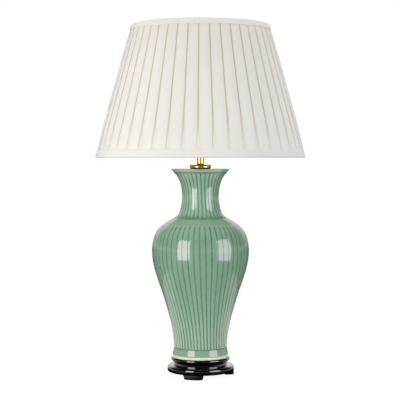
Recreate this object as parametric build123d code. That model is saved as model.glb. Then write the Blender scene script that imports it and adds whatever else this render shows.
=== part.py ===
from build123d import *
import os
from math import cos, pi, radians, sin

# Table lamp: a fluted baluster vase on a three-footed stand, under a box-pleated empire shade.
# Millimetres, +Z up. The origin is on the table under the lamp's axis, and the front looks along -Y.
# Headings run round the axis from the front, towards +X.

# ---- vase
VASE_H = 411.8              # foot to mouth
FOOT_R = 60.6               # bare clay ring that the vase stands on
BELLY_R = 105.9
NECK_R = 40.0
MOUTH_R = 64.2
BELLY_H = 0.5695 * VASE_H   # heights above the foot
NECK_H = 0.852 * VASE_H
FOOT_BAND_H = 23.4          # foot to the groove that the flutes end on, where the vase is slimmest
BARE_FOOT_H = 7.0
FOOT_CHAMFER = 0.8
FOOT_GLAZE_R = FOOT_R + 0.7
STEM_WAIST_R = FOOT_R - 2.6
BAND_BOW = 0.4              # hollow of the glazed band
LIP_ROUND = 1.2
VASE_WALL = 6.0
MOUTH_WALL = 7.0            # thickness of the closed top
BODY_FLUTES = 48
BODY_FLUTE_DEPTH = 0.8
BODY_FLUTES_TO = 0.6957 * VASE_H
NECK_FLUTES = 34
NECK_FLUTE_DEPTH = 0.7
NECK_FLUTES_FROM = 0.7407 * VASE_H
NECK_FLUTES_TO = 0.975 * VASE_H
RING_GROOVE = 0.8           # depth and half width of the groove under the body's flutes
# outline between the named places, as shares of the way up and of the change in radius
LOWER_CURVE = ((0.168, 0.067), (0.375, 0.28), (0.583, 0.562), (0.79, 0.864))
SHOULDER_CURVE = ((0.258, 0.077), (0.408, 0.228), (0.503, 0.426), (0.577, 0.639), (0.634, 0.8),
                  (0.747, 0.926))
MOUTH_CURVE = ((0.378, 0.091), (0.593, 0.256), (0.81, 0.599), (0.916, 0.83))

# ---- stand, which follows the vase's foot
FOOT_COUNT = 3
STAND_TURN = -13.0          # heading of the first foot
PLATE_R = FOOT_R + 11.2     # between the feet
PLATE_LOBE = 2.0            # how much further the plate reaches over each foot
PLATE_T = 14.0
PLATE_ROUND = 6.4           # rounding of the plate's upper edge
PLATE_UNDER_ROUND = 2.2
WAIST_R = FOOT_R - 1.9
WAIST_H = 5.5
COLLAR_R = FOOT_R + 3.8
COLLAR_H = 12.0
COLLAR_FLARE_H = 5.5        # height of the cove between waist and bead
COLLAR_COVE = 0.6           # how hollow the cove is, and how far it ends inside the bead
COLLAR_LIP = 1.2            # width of the flat round the vase's foot
RECESS_DEPTH = 2.0
RECESS_FIT = 0.6            # radial gap round the vase's foot
GASKET_T = 1.0
GASKET_W = 8.0
GASKET_MARGIN = 0.5
FOOT_HEIGHT = 9.0
FOOT_FACE_R = PLATE_R + 0.8  # from the axis to the foot's outer face, at the top
FOOT_BELLY = 0.7            # how far the face swells below the top
FOOT_WIDTH = 44.5           # across the foot's top
FOOT_MIDDLE_WIDTH = 40.6
FOOT_TOE_WIDTH = 39.4       # across its bottom
FOOT_DEPTH = 21.0           # along the radius
FOOT_TAPER = 0.92           # width at the back as a share of the width in front
PAD_T = 1.0
PAD_MARGIN = 3.0

# ---- rod, nuts and brass on the vase
ROD_R = 5.0
ROD_BORE_R = ROD_R - 1.5
ROD_FIT = 0.3               # radial gap where the rod passes through wood, clay and rubber
ROD_TAIL = 2.0              # rod showing below the nut
ROD_HEAD = 1.0              # rod showing above the lampholder's nut
CLAMP_RECESS_R = 26.0
CLAMP_RECESS_DEPTH = 9.0
CLAMP_WASHER_R = 20.0
CLAMP_WASHER_T = 2.0
LOCK_WASHER_R = ROD_R + 4.0
LOCK_WASHER_T = 1.2
LOCK_WASHER_SPLIT = 1.0
NUT_FLATS = 2 * ROD_R + 7.0
NUT_T = 3.6
CAP_R = 23.5
CAP_H = 8.5
CAP_WALL = 1.6
CAP_ROUND = 3.4
CAP_FIT = 0.5               # gap between the cap and the rubber inside it
CAP_WASHER_GAP = 0.4        # cap edge held off the glaze by the rubber
BUNG_R = ROD_R + 4.0
BUNG_FIT = 0.4
STEM_WALL = 1.2
STEM_R = ROD_R + 1.3 + STEM_WALL
STEM_L = 84.0
STEM_BEAD_R = STEM_R + 1.7
STEM_BEAD_H = 3.0
STEM_BEAD_COVE = 0.7        # bead's width at the middle of its cove

# ---- cord inlet
INLET_BORE_R = 3.3
INLET_TUBE_R = 4.3
INLET_FLANGE_R = 5.6
INLET_FLANGE_T = 2.0
INLET_LENGTH = 16.0
INLET_FIT = 0.1
INLET_SET_BACK = 2.3        # flange seat behind the plate's edge
INLET_HEADING = STAND_TURN + 180.0   # midway between the two rear feet

# ---- bulb
BULB_R = 30.0
BULB_CAP_R = 13.05
BULB_CAP_H = 21.0
BULB_CAP_CONE = 2.0         # width and height of the cap's slanted lower edge
BULB_NECK_R = 15.0
BULB_NECK_H = 9.0
BULB_JOIN = radians(-35)    # where the neck meets the sphere, below its middle
BULB_L = 108.0
BULB_TIP_R = 4.8
BULB_TIP_H = 2.4
BULB_TIP_ROUND = 1.4
BULB_PIN_R = 2.4
BULB_PIN_FIT = 0.06
BULB_PIN_L = 3.0
BULB_INSULATOR_H = 4.6
BULB_WALL = 1.0
CONTACT_GAP = 0.1

# ---- lampholder, whose brass follows the skirt
SKIRT_R = 19.4
SKIRT_H = 39.0
HOLDER_CAP_R = SKIRT_R + 0.6
HOLDER_CAP_H = 19.0
HOLDER_WALL = 0.8
HOLDER_ROUND = 7.0
SPIGOT_H = 3.0              # skirt's lower end, inside the cap
SPIGOT_FIT = 0.05
SHOULDER_R = SKIRT_R + 3.6
SHOULDER_T = 2.2
SHOULDER_ROUND = 0.66
SHOULDER_Z = 24.0           # shoulder above the skirt's lower end
CORE_R = SKIRT_R - 2.4
CORE_H = 17.0
CORE_LIFT = 9.0             # core above the stem's end
PEDESTAL_R = 12.6
PEDESTAL_WALL = 2.2
SHELL_R = BULB_CAP_R + 0.1
SHELL_WALL = 0.5
SHELL_H = 24.0
SHELL_RIM_GAP = 1.5         # skirt's inturned top round the shell
SWITCH_BAR_R = 2.0
SWITCH_BAR_FIT = 0.06
SWITCH_BAR_ROUND = 1.4
SWITCH_BAR_LIFT = 4.0       # bar's middle above the core's underside
SWITCH_THROW = 7.0
SWITCH_STICK_OUT = 4.0      # bar showing on its short side
HOLDER_NUT_T = 3.0
HOLDER_NUT_FLATS = 2 * ROD_R + 5.0
TERMINAL_R = 1.6
TERMINAL_L = 5.0
TERMINAL_HEAD_R = 2.4
TERMINAL_HEAD_T = 1.4
TERMINAL_SLOT = 0.6
CONTACT_W = 5.0
CONTACT_T = 0.6
TAB_H = 8.0
TAB_GAP = 0.05
RING_R = SKIRT_R + 4.6
RING_H = 7.0
RING_FIT = 0.1
RING_GAP = 0.1
RING_GRIPS = 20
RING_GRIP_R = 1.4

# ---- shade
SHADE_H = 284.0
SHADE_BOTTOM_R = 228.0
SHADE_TOP_R = 150.0
SHADE_BELLY = 1.5           # how far the cloth bows out of the straight line
SHADE_BELLY_AT = 0.28       # share of the height where it bows most
FITTER_DROP = 177.0         # from the shade's top edge down to the fitter ring
PLEATS = 44
PLEAT_TURN = -1.2           # heading of the first gap
PLEAT_DEPTH = 1.4
PLEAT_GAP_TOP = 3.0
PLEAT_GAP_BOTTOM = 6.6
CLOTH_T = 0.9
BINDING_H = 12.5
BINDING_INNER_H = 9.0
BINDING_T = 0.5
BINDING_FIT = 0.05
LINING_T = 0.8
LINING_TRIM = 3.0
WIRE_R = 1.5
WIRE_FIT = 0.15
STRUTS = 8
STRUT_R = 1.2
ARMS = 3
ARM_TURN = 60.0
ARM_R = 1.6
ARM_REACH = 14.0            # from the fitter's edge to the arm's bend
ARM_BEND = 9.0
ARM_FIT = 0.3
FITTER_BORE_FIT = 0.1
FITTER_R = SKIRT_R + 7.6
FITTER_T = 2.0
FITTER_GAP = 0.05

# ---- heights, chained from the table up
FOOT_Z = PAD_T
PLATE_Z = FOOT_Z + FOOT_HEIGHT
WAIST_Z = PLATE_Z + PLATE_T
COLLAR_Z = WAIST_Z + WAIST_H
SEAT_Z = COLLAR_Z + COLLAR_H - RECESS_DEPTH
VASE_Z = SEAT_Z + GASKET_T
MOUTH_Z = VASE_Z + VASE_H
CAP_Z = MOUTH_Z + CAP_WASHER_GAP
STEM_Z = CAP_Z + CAP_H
HOLDER_Z = STEM_Z + STEM_L
CLAMP_Z = PLATE_Z + CLAMP_RECESS_DEPTH
NUT_Z = CLAMP_Z - CLAMP_WASHER_T - LOCK_WASHER_T - NUT_T
ROD_TOP_Z = HOLDER_Z + HOLDER_WALL + HOLDER_NUT_T + ROD_HEAD
CORE_Z = HOLDER_Z + CORE_LIFT
SKIRT_Z = HOLDER_Z + HOLDER_CAP_H
SHOULDER_TOP_Z = SKIRT_Z + SHOULDER_Z
FITTER_Z = SHOULDER_TOP_Z + FITTER_GAP
RING_Z = FITTER_Z + FITTER_T + RING_GAP
SHADE_TOP_Z = FITTER_Z + FITTER_DROP
SHADE_BOTTOM_Z = SHADE_TOP_Z - SHADE_H
CORE_FLOOR_Z = CORE_Z + CORE_H
SWITCH_Z = CORE_Z + SWITCH_BAR_LIFT
BULB_Z = CORE_FLOOR_Z + CONTACT_T + CONTACT_GAP

ABOVE = (Align.CENTER, Align.CENTER, Align.MIN)
BELOW = (Align.CENTER, Align.CENTER, Align.MAX)


def save(node, shape):
    export_step(shape, f"parts/{node}.step")


def on_circle(radius, heading, z=0.0):
    """The point at this radius and heading, where heading 0 is the front."""
    angle = radians(heading)
    return Vector(radius * sin(angle), -radius * cos(angle), z)


def headings(count, start=0.0):
    return [start + 360.0 * k / count for k in range(count)]


def turned(*edges):
    """A solid of revolution about Z from a closed outline in the XZ plane."""
    return revolve(make_face(list(edges)), Axis.Z)


def turned_polygon(*points):
    """A solid of revolution from the corners (radius, height) of its section."""
    return turned(*Polyline([(r, 0, z) for r, z in points], close=True).edges())


def tube(outer, inner, z, height):
    ring = Circle(outer) - Circle(inner)
    return extrude(Pos(0, 0, z) * ring, height)


def disc(radius, z, height):
    return extrude(Pos(0, 0, z) * Circle(radius), height)


# ---------------------------------------------------------------- stand
def stand_plate():
    """Plate with a rounded edge that reaches out a little over each foot, and the slimmer waist above it."""
    plate = extrude(Pos(0, 0, PLATE_Z) * plate_plan(), PLATE_T)
    plate = fillet(plate.edges().group_by(Axis.Z)[-1], PLATE_ROUND)
    plate = fillet(plate.edges().group_by(Axis.Z)[0], PLATE_UNDER_ROUND)
    plate += disc(WAIST_R, WAIST_Z, WAIST_H)
    plate -= disc(CLAMP_RECESS_R, PLATE_Z, CLAMP_RECESS_DEPTH)
    plate -= disc(ROD_R + ROD_FIT, PLATE_Z, PLATE_T + WAIST_H)
    return plate - inlet_hole()


def plate_plan():
    """The plate from above: a circle that swells at each foot."""
    places = []
    for h in headings(4 * FOOT_COUNT, STAND_TURN):
        swell = (1 + cos(radians(h - STAND_TURN) * FOOT_COUNT)) / 2
        places.append(on_circle(PLATE_R + PLATE_LOBE * swell, h))
    return make_face(Spline(*places, periodic=True))


def fillet_rim(solid, radius):
    """Round the widest circular edges of a turned solid."""
    rim = solid.edges().filter_by(GeomType.CIRCLE).group_by(SortBy.RADIUS)[-1]
    return fillet(rim, radius)


def inlet_frame():
    """Plane at the plate's edge whose Z axis points out along the cord inlet."""
    outward = on_circle(1.0, INLET_HEADING)
    middle = on_circle(PLATE_R - INLET_SET_BACK, INLET_HEADING, PLATE_Z + PLATE_T / 2)
    return Plane(origin=middle, x_dir=(0, 0, 1), z_dir=outward)


def inlet_hole():
    reach = PLATE_R - CLAMP_RECESS_R + PLATE_ROUND
    channel = Cylinder(INLET_TUBE_R + INLET_FIT, reach, align=BELOW)
    seat = Cylinder(INLET_FLANGE_R + INLET_FIT, PLATE_ROUND, align=ABOVE)
    return inlet_frame() * (channel + seat)


def cord_bush():
    """Flanged bush that the cord comes out of, with its bore along the inlet."""
    body = Cylinder(INLET_TUBE_R, INLET_LENGTH - INLET_FLANGE_T, align=BELOW)
    flange = Cylinder(INLET_FLANGE_R, INLET_FLANGE_T, align=ABOVE)
    flange = fillet(flange.edges().group_by(Axis.Z)[-1], INLET_FLANGE_T / 3)
    bush = body + flange - Cylinder(INLET_BORE_R, 2 * INLET_LENGTH)
    return inlet_frame() * bush


def foot(heading):
    """One carved foot: its face swells a little, and its sides spread in a cove under the plate."""
    toe = foot_section(FOOT_TOE_WIDTH, FOOT_FACE_R + FOOT_BELLY / 2, FOOT_Z)
    middle = foot_section(FOOT_MIDDLE_WIDTH, FOOT_FACE_R + FOOT_BELLY, FOOT_Z + FOOT_HEIGHT / 2)
    top = foot_section(FOOT_WIDTH, FOOT_FACE_R, PLATE_Z)
    return Rot(0, 0, heading) * Solid.make_loft([toe, middle, top])


def foot_section(width, face_r, z):
    """Foot outline at one height: a curved outer face and a straight back."""
    half = width / 2
    behind = half * FOOT_TAPER
    corner = -(face_r ** 2 - half ** 2) ** 0.5
    back = -(FOOT_FACE_R - FOOT_DEPTH)
    sides = Polyline((half, corner, z), (behind, back, z), (-behind, back, z), (-half, corner, z))
    face = ThreePointArc((-half, corner, z), (0, -face_r, z), (half, corner, z))
    return Wire(list(sides.edges()) + [face])


def stand_feet():
    return Compound(children=[foot(h) for h in headings(FOOT_COUNT, STAND_TURN)])


def felt_pads():
    """A felt pad under each foot, a little smaller than the foot's toe."""
    length = FOOT_DEPTH - 2 * PAD_MARGIN
    middle = FOOT_FACE_R - PAD_MARGIN - length / 2
    face = RectangleRounded(FOOT_TOE_WIDTH - 3 * PAD_MARGIN, length, PAD_MARGIN)
    pad = extrude(Pos(0, -middle, 0) * face, PAD_T)
    return Compound(children=[Rot(0, 0, h) * pad for h in headings(FOOT_COUNT, STAND_TURN)])


def stand_collar():
    """Moulded ring over the waist: a cove, a bead and the recess for the vase's foot."""
    bead_z = COLLAR_Z + COLLAR_FLARE_H
    top_z = COLLAR_Z + COLLAR_H
    recess_r = FOOT_R + RECESS_FIT
    lip_r = recess_r + COLLAR_LIP
    bead_r = COLLAR_R - COLLAR_COVE
    bore = ROD_R + ROD_FIT
    seat = [(lip_r, 0, top_z), (recess_r, 0, top_z), (recess_r, 0, SEAT_Z), (bore, 0, SEAT_Z),
            (bore, 0, COLLAR_Z), (WAIST_R, 0, COLLAR_Z)]
    cove_middle = ((WAIST_R + bead_r) / 2 - COLLAR_COVE, 0, (COLLAR_Z + bead_z) / 2 + COLLAR_COVE)
    cove = ThreePointArc((WAIST_R, 0, COLLAR_Z), cove_middle, (bead_r, 0, bead_z))
    bead = ThreePointArc((bead_r, 0, bead_z), (COLLAR_R, 0, (bead_z + top_z) / 2), (lip_r, 0, top_z))
    return turned(*Polyline(seat).edges(), cove, bead)


def foot_gasket():
    return tube(FOOT_R - GASKET_MARGIN, FOOT_R - GASKET_W, SEAT_Z, GASKET_T)


# ---------------------------------------------------------------- vase
def vase_outline():
    """The glazed outline from the slim place above the foot to the mouth, as one spline."""
    stations = [(STEM_WAIST_R, FOOT_BAND_H), (BELLY_R, BELLY_H), (NECK_R, NECK_H), (MOUTH_R, VASE_H)]
    points = [stations[0]]
    for curve, (r0, h0), (r1, h1) in zip((LOWER_CURVE, SHOULDER_CURVE, MOUTH_CURVE), stations, stations[1:]):
        points += [(r0 + (r1 - r0) * out, h0 + (h1 - h0) * up) for up, out in curve]
        points.append((r1, h1))
    return Spline(*[(r, 0, VASE_Z + h) for r, h in points])


OUTLINE = vase_outline()


def outline_r(height):
    """Radius of the outline at this height above the foot."""
    low, high = 0.0, 1.0
    for _ in range(40):
        middle = (low + high) / 2
        if (OUTLINE @ middle).Z < VASE_Z + height:
            low = middle
        else:
            high = middle
    return (OUTLINE @ low).X


def steps(start, end, count):
    """Evenly spaced values from start to end, both included."""
    return [start + (end - start) * k / (count - 1) for k in range(count)]


def outline_stretch(bottom, top, inset, count):
    """Part of the outline between two heights, drawn in by inset, closed to the axis and turned."""
    side = Spline(*[(outline_r(h) - inset, 0, VASE_Z + h) for h in steps(bottom, top, count)])
    low, high = side @ 0, side @ 1
    ends = Polyline(high, (0, 0, high.Z), (0, 0, low.Z), low)
    return turned(side, *ends.edges())


def fluted(count, depth, bottom, top, sections):
    """A stretch of the vase with reeds round it: each section is a ring of arcs that meet in grooves."""
    heights = steps(bottom, top, sections)
    return Solid.make_loft([reeded_ring(count, outline_r(h), depth, VASE_Z + h) for h in heights])


def reeded_ring(count, crown_r, depth, z):
    pitch = 360.0 / count
    arcs = []
    for h in headings(count):
        low, high = on_circle(crown_r - depth, h, z), on_circle(crown_r - depth, h + pitch, z)
        arcs.append(ThreePointArc(low, on_circle(crown_r, h + pitch / 2, z), high))
    return Wire(arcs)


def vase_foot():
    """Bare clay ring and glazed band up to the groove that the flutes end on."""
    groove_z = VASE_Z + FOOT_BAND_H
    glaze_z = VASE_Z + BARE_FOOT_H
    groove_r = STEM_WAIST_R - RING_GROOVE
    band_top = (STEM_WAIST_R, 0, groove_z - 2 * RING_GROOVE)
    band_middle = ((FOOT_GLAZE_R + STEM_WAIST_R) / 2 - BAND_BOW, 0, (glaze_z + groove_z) / 2)
    band = ThreePointArc((FOOT_GLAZE_R, 0, glaze_z), band_middle, band_top)
    corners = [band_top, (groove_r, 0, groove_z - RING_GROOVE), (groove_r, 0, groove_z), (0, 0, groove_z),
               (0, 0, VASE_Z), (FOOT_R - FOOT_CHAMFER, 0, VASE_Z), (FOOT_R, 0, VASE_Z + FOOT_CHAMFER),
               (FOOT_R, 0, glaze_z), (FOOT_GLAZE_R, 0, glaze_z)]
    return turned(band, *Polyline(corners).edges())


def vase_hollow():
    """Inside of the vase, one wall in from the outline: open at the foot, closed at the mouth."""
    places = []
    for share in steps(0.0, 1.0, 17):
        along = OUTLINE % share
        places.append(OUTLINE @ share + Vector(-along.Z, 0, along.X) * VASE_WALL)
    low, high = places[0], places[-1]
    ends = Polyline(high, (0, 0, high.Z), (0, 0, VASE_Z), (low.X, 0, VASE_Z), low)
    hollow = turned(Spline(*places), *ends.edges())
    return hollow - disc(MOUTH_R, MOUTH_Z - MOUTH_WALL, 2 * MOUTH_WALL)


def vase():
    body = fluted(BODY_FLUTES, BODY_FLUTE_DEPTH, FOOT_BAND_H, BODY_FLUTES_TO, 13)
    neck = fluted(NECK_FLUTES, NECK_FLUTE_DEPTH, NECK_FLUTES_FROM, NECK_FLUTES_TO, 9)
    shoulder = outline_stretch(BODY_FLUTES_TO, NECK_FLUTES_FROM, BODY_FLUTE_DEPTH / 2, 5)
    lip = outline_stretch(NECK_FLUTES_TO, VASE_H, 0.0, 4)
    lip = fillet(lip.edges().filter_by(GeomType.CIRCLE).group_by(Axis.Z)[-1], LIP_ROUND)
    whole = vase_foot() + body + shoulder + neck + lip
    whole -= vase_hollow()
    return whole - disc(BUNG_R + BUNG_FIT, MOUTH_Z - 2 * MOUTH_WALL, 3 * MOUTH_WALL)


# ---------------------------------------------------------------- rod, nuts, brass
def threaded_rod():
    bottom = NUT_Z - ROD_TAIL
    return tube(ROD_R, ROD_BORE_R, bottom, ROD_TOP_Z - bottom)


def hex_nut(flats, z, height):
    blank = extrude(Pos(0, 0, z) * RegularPolygon(flats / 2, 6, major_radius=False), height)
    return blank - disc(ROD_R, z, height)


def lock_washer():
    """Split spring washer."""
    top_z = CLAMP_Z - CLAMP_WASHER_T
    ring = tube(LOCK_WASHER_R, ROD_R + ROD_FIT, top_z - LOCK_WASHER_T, LOCK_WASHER_T)
    split = Box(LOCK_WASHER_SPLIT, LOCK_WASHER_R, 4 * LOCK_WASHER_T)
    return ring - Pos(0, -LOCK_WASHER_R, top_z) * Rot(0, 30, 0) * split


def cap_washer():
    """Rubber washer inside the brass cap, with a bung that centres the rod in the vase's hole."""
    rubber_top = CAP_Z + CAP_H - CAP_WALL
    washer = disc(CAP_R - CAP_WALL - 2 * CAP_FIT, MOUTH_Z, rubber_top - MOUTH_Z)
    bung = disc(BUNG_R, MOUTH_Z - MOUTH_WALL, MOUTH_WALL)
    return washer + bung - disc(ROD_R, MOUTH_Z - MOUTH_WALL, 3 * MOUTH_WALL)


def vase_cap():
    """Spun brass cap with a rolled edge, hollow underneath for the rubber washer."""
    cap = fillet_rim(disc(CAP_R, CAP_Z, CAP_H), CAP_ROUND)
    cap -= disc(CAP_R - CAP_WALL - CAP_FIT, CAP_Z, CAP_H - CAP_WALL)
    return cap - disc(ROD_R, CAP_Z, CAP_H)


def stem_tube():
    """Brass tube over the rod, with a small turned bead at its foot."""
    bead_top = STEM_Z + STEM_BEAD_H
    inner = STEM_R - STEM_WALL
    corners = [(STEM_R, 0, bead_top), (STEM_R, 0, HOLDER_Z), (inner, 0, HOLDER_Z), (inner, 0, STEM_Z),
               (STEM_BEAD_R, 0, STEM_Z)]
    cove_middle = (STEM_R + STEM_BEAD_COVE, 0, STEM_Z + STEM_BEAD_H * 0.4)
    cove = ThreePointArc((STEM_BEAD_R, 0, STEM_Z), cove_middle, (STEM_R, 0, bead_top))
    return turned(*Polyline(corners).edges(), cove)


# ---------------------------------------------------------------- lampholder
def switch_bar_hole(fit):
    hole = Cylinder(SWITCH_BAR_R + fit, 4 * HOLDER_CAP_R, rotation=(0, 90, 0))
    return Pos(0, 0, SWITCH_Z) * hole


def holder_cap():
    """Lower brass shell of the lampholder, domed, open at the top."""
    outside = disc(HOLDER_CAP_R, HOLDER_Z, HOLDER_CAP_H)
    outside = fillet(outside.edges().group_by(Axis.Z)[0], HOLDER_ROUND)
    inside = disc(HOLDER_CAP_R - HOLDER_WALL, HOLDER_Z + HOLDER_WALL, HOLDER_CAP_H)
    inside = fillet(inside.edges().group_by(Axis.Z)[0], HOLDER_ROUND - HOLDER_WALL)
    shell = outside - inside - disc(ROD_R, HOLDER_Z, HOLDER_CAP_H)
    return shell - switch_bar_hole(ROD_FIT)


def holder_core():
    """Insulating core on a hollow pedestal that clears the rod and its nut."""
    floor_z = HOLDER_Z + HOLDER_WALL
    core = disc(CORE_R, CORE_Z, CORE_H)
    core += tube(PEDESTAL_R, PEDESTAL_R - PEDESTAL_WALL, floor_z, CORE_Z - floor_z)
    core -= switch_bar_hole(SWITCH_BAR_FIT)
    pocket = Box(2.5 * TERMINAL_HEAD_R, 2 * TERMINAL_L, 2 * TERMINAL_L)
    for side in (-1, 1):
        core -= Pos(0, side * CORE_R, CORE_Z + CORE_H / 2) * pocket
    return core


def terminal_screws():
    """Two terminal screws, set into the pockets in the core's sides."""
    neck = TERMINAL_L - TERMINAL_HEAD_T - TERMINAL_SLOT
    screw = Cylinder(TERMINAL_R, neck, align=ABOVE)
    screw += Pos(0, 0, neck) * Cylinder(TERMINAL_HEAD_R, TERMINAL_HEAD_T, align=ABOVE)
    slot = Box(3 * TERMINAL_HEAD_R, TERMINAL_SLOT, 2 * TERMINAL_SLOT)
    screw -= Pos(0, 0, neck + TERMINAL_HEAD_T) * slot
    seats = [Plane(origin=(0, side * (CORE_R - TERMINAL_L), CORE_Z + CORE_H / 2), z_dir=(0, side, 0))
             for side in (-1, 1)]
    return Compound(children=[seat * screw for seat in seats])


def centre_contact():
    """Sprung strip on the core's floor that the bulb's tip rests on."""
    strip = Box(CONTACT_W, 2 * CONTACT_W, CONTACT_T, align=(Align.CENTER, Align.CENTER, Align.MIN))
    return Pos(0, 0, CORE_FLOOR_Z) * strip


def side_contact():
    """Angle on the core's floor whose tab stands against the outside of the threaded shell."""
    face = SHELL_R + SHELL_WALL + TAB_GAP
    base = Box(CONTACT_W, CORE_R - face, CONTACT_T, align=(Align.CENTER, Align.MIN, Align.MIN))
    tab = Box(CONTACT_W, CONTACT_T, TAB_H, align=(Align.CENTER, Align.MIN, Align.MIN))
    return Pos(0, face, CORE_FLOOR_Z) * (base + tab)


def screw_shell():
    """Threaded shell that takes the bulb's cap, standing on the core."""
    return tube(SHELL_R + SHELL_WALL, SHELL_R, CORE_FLOOR_Z, SHELL_H)


def holder_skirt():
    """Upper brass shell with the shoulder that the shade's fitter sits on."""
    inner = SKIRT_R - HOLDER_WALL
    shoulder_z = SHOULDER_TOP_Z - SHOULDER_T
    skirt = tube(SKIRT_R, inner, SKIRT_Z, SKIRT_H)
    skirt += tube(HOLDER_CAP_R, inner, SKIRT_Z, 2 * HOLDER_WALL)
    skirt += tube(HOLDER_CAP_R - HOLDER_WALL - SPIGOT_FIT, inner, SKIRT_Z - SPIGOT_H, SPIGOT_H)
    skirt += fillet_rim(tube(SHOULDER_R, inner, shoulder_z, SHOULDER_T), SHOULDER_ROUND)
    lip_z = SKIRT_Z + SKIRT_H - HOLDER_WALL
    return skirt + tube(SKIRT_R, SHELL_R + SHELL_WALL + SHELL_RIM_GAP, lip_z, HOLDER_WALL)


def switch_bar():
    """Push-through bar with domed ends; pushing the long end switches the lamp."""
    reach = HOLDER_CAP_R + SWITCH_STICK_OUT
    length = 2 * reach + SWITCH_THROW
    bar = Cylinder(SWITCH_BAR_R, length, rotation=(0, 90, 0))
    bar = fillet(bar.edges().filter_by(GeomType.CIRCLE), SWITCH_BAR_ROUND)
    return Pos(SWITCH_THROW / 2, 0, SWITCH_Z) * bar


def shade_ring():
    """Ring nut over the skirt with grips round its edge."""
    grip = Cylinder(RING_GRIP_R, RING_H, align=ABOVE)
    places = [on_circle(RING_R + RING_GRIP_R / 2, h, RING_Z) for h in headings(RING_GRIPS)]
    return tube(RING_R, SKIRT_R + RING_FIT, RING_Z, RING_H) - [Pos(*place) * grip for place in places]


# ---------------------------------------------------------------- bulb
def bulb_tip():
    """Centre tip, with the pin that the rest of the bulb turns on."""
    tip = fillet(disc(BULB_TIP_R, BULB_Z, BULB_TIP_H).edges().group_by(Axis.Z)[0], BULB_TIP_ROUND)
    return tip + disc(BULB_PIN_R, BULB_Z + BULB_TIP_H, BULB_PIN_L)


def bulb_insulator():
    low = BULB_Z + BULB_TIP_H + BULB_PIN_FIT
    high = low + BULB_INSULATOR_H
    cone = turned_polygon((0, low), (BULB_TIP_R, low), (BULB_CAP_R - BULB_CAP_CONE, high), (0, high))
    return cone - disc(BULB_PIN_R + BULB_PIN_FIT, low, BULB_PIN_L)


def bulb_cap():
    """Screw cap, a shell from the insulator up to the glass."""
    low = BULB_Z + BULB_TIP_H + BULB_PIN_FIT + BULB_INSULATOR_H
    high = low + BULB_CAP_H
    inner = BULB_CAP_R - BULB_WALL
    return turned_polygon((0, low), (BULB_CAP_R - BULB_CAP_CONE, low), (BULB_CAP_R, low + BULB_CAP_CONE),
                          (BULB_CAP_R, high), (inner, high), (inner, low + BULB_WALL), (0, low + BULB_WALL))


def bulb_glass():
    """Pear-shaped glass: a neck on the cap that runs into a sphere."""
    neck_z = BULB_Z + BULB_TIP_H + BULB_PIN_FIT + BULB_INSULATOR_H + BULB_CAP_H
    return bulb_form(neck_z, 0.0) - bulb_form(neck_z, BULB_WALL)


def bulb_form(neck_z, inset):
    """Inside or outside of the glass, drawn in by inset."""
    r = BULB_R - inset
    middle_z = BULB_Z + BULB_L - BULB_R
    foot = (BULB_CAP_R - inset, 0, neck_z)
    neck = (BULB_NECK_R - inset, 0, neck_z + BULB_NECK_H)
    join = (r * cos(BULB_JOIN), 0, middle_z + r * sin(BULB_JOIN))
    top = (0, 0, middle_z + r)
    side = Spline(foot, neck, join, tangents=[(0.12, 0, 1), (-sin(BULB_JOIN), 0, cos(BULB_JOIN))])
    dome = ThreePointArc(join, (r * cos(BULB_JOIN), 0, middle_z - r * sin(BULB_JOIN)), top)
    return turned(side, dome, *Polyline(top, (0, 0, neck_z), foot).edges())


# ---------------------------------------------------------------- shade
def shade_r(z, inset=0.0):
    """Outer radius of the cloth at this height: straight, but for a slight bow low down."""
    share = (z - SHADE_BOTTOM_Z) / SHADE_H
    straight = SHADE_BOTTOM_R + (SHADE_TOP_R - SHADE_BOTTOM_R) * share
    if share < SHADE_BELLY_AT:
        bow = SHADE_BELLY * share / SHADE_BELLY_AT
    else:
        bow = SHADE_BELLY * (1 - share) / (1 - SHADE_BELLY_AT)
    return straight + bow - BINDING_T - BINDING_FIT - inset


def cloth_heights():
    """Heights of the cloth's lower edge, its fullest place and its upper edge."""
    low = SHADE_BOTTOM_Z + BINDING_T + BINDING_FIT
    high = SHADE_TOP_Z - BINDING_T - BINDING_FIT
    return low, SHADE_BOTTOM_Z + SHADE_H * SHADE_BELLY_AT, high


def gap_turn(z):
    """Half the angle that a gap between two pleats takes at this height."""
    share = (z - SHADE_BOTTOM_Z) / SHADE_H
    gap = PLEAT_GAP_BOTTOM + (PLEAT_GAP_TOP - PLEAT_GAP_BOTTOM) * share
    return gap / 2 / shade_r(z) * 180 / pi


def pleat_ring(z):
    """One closed row of box pleats: flat faces between narrow recesses."""
    outer, half = shade_r(z), gap_turn(z)
    points = []
    for h in headings(PLEATS, PLEAT_TURN):
        points += [on_circle(outer, h - half, z), on_circle(outer - PLEAT_DEPTH, h - half, z),
                   on_circle(outer - PLEAT_DEPTH, h + half, z), on_circle(outer, h + half, z)]
    return Wire.make_polygon(points, close=True)


def cloth_back(z):
    """The inside of the cloth at this height, with corners behind the folds and across each pleat."""
    inner, half = shade_r(z, PLEAT_DEPTH + CLOTH_T), gap_turn(z)
    turns = []
    for h in headings(PLEATS, PLEAT_TURN):
        turns += [h - half] + steps(h + half, h + 360.0 / PLEATS - half, 5)[:-1]
    return Wire.make_polygon([on_circle(inner, turn, z) for turn in turns], close=True)


def pleated_cover():
    """Cloth with its box pleats: flat faces between rows of folds, hollow inside."""
    heights = cloth_heights()
    outside = Solid.make_loft([pleat_ring(z) for z in heights], ruled=True)
    return outside - Solid.make_loft([cloth_back(z) for z in heights], ruled=True)


WIRE_INSET = PLEAT_DEPTH + CLOTH_T + WIRE_FIT + WIRE_R
LINING_INSET = WIRE_INSET + WIRE_R + WIRE_FIT


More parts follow.
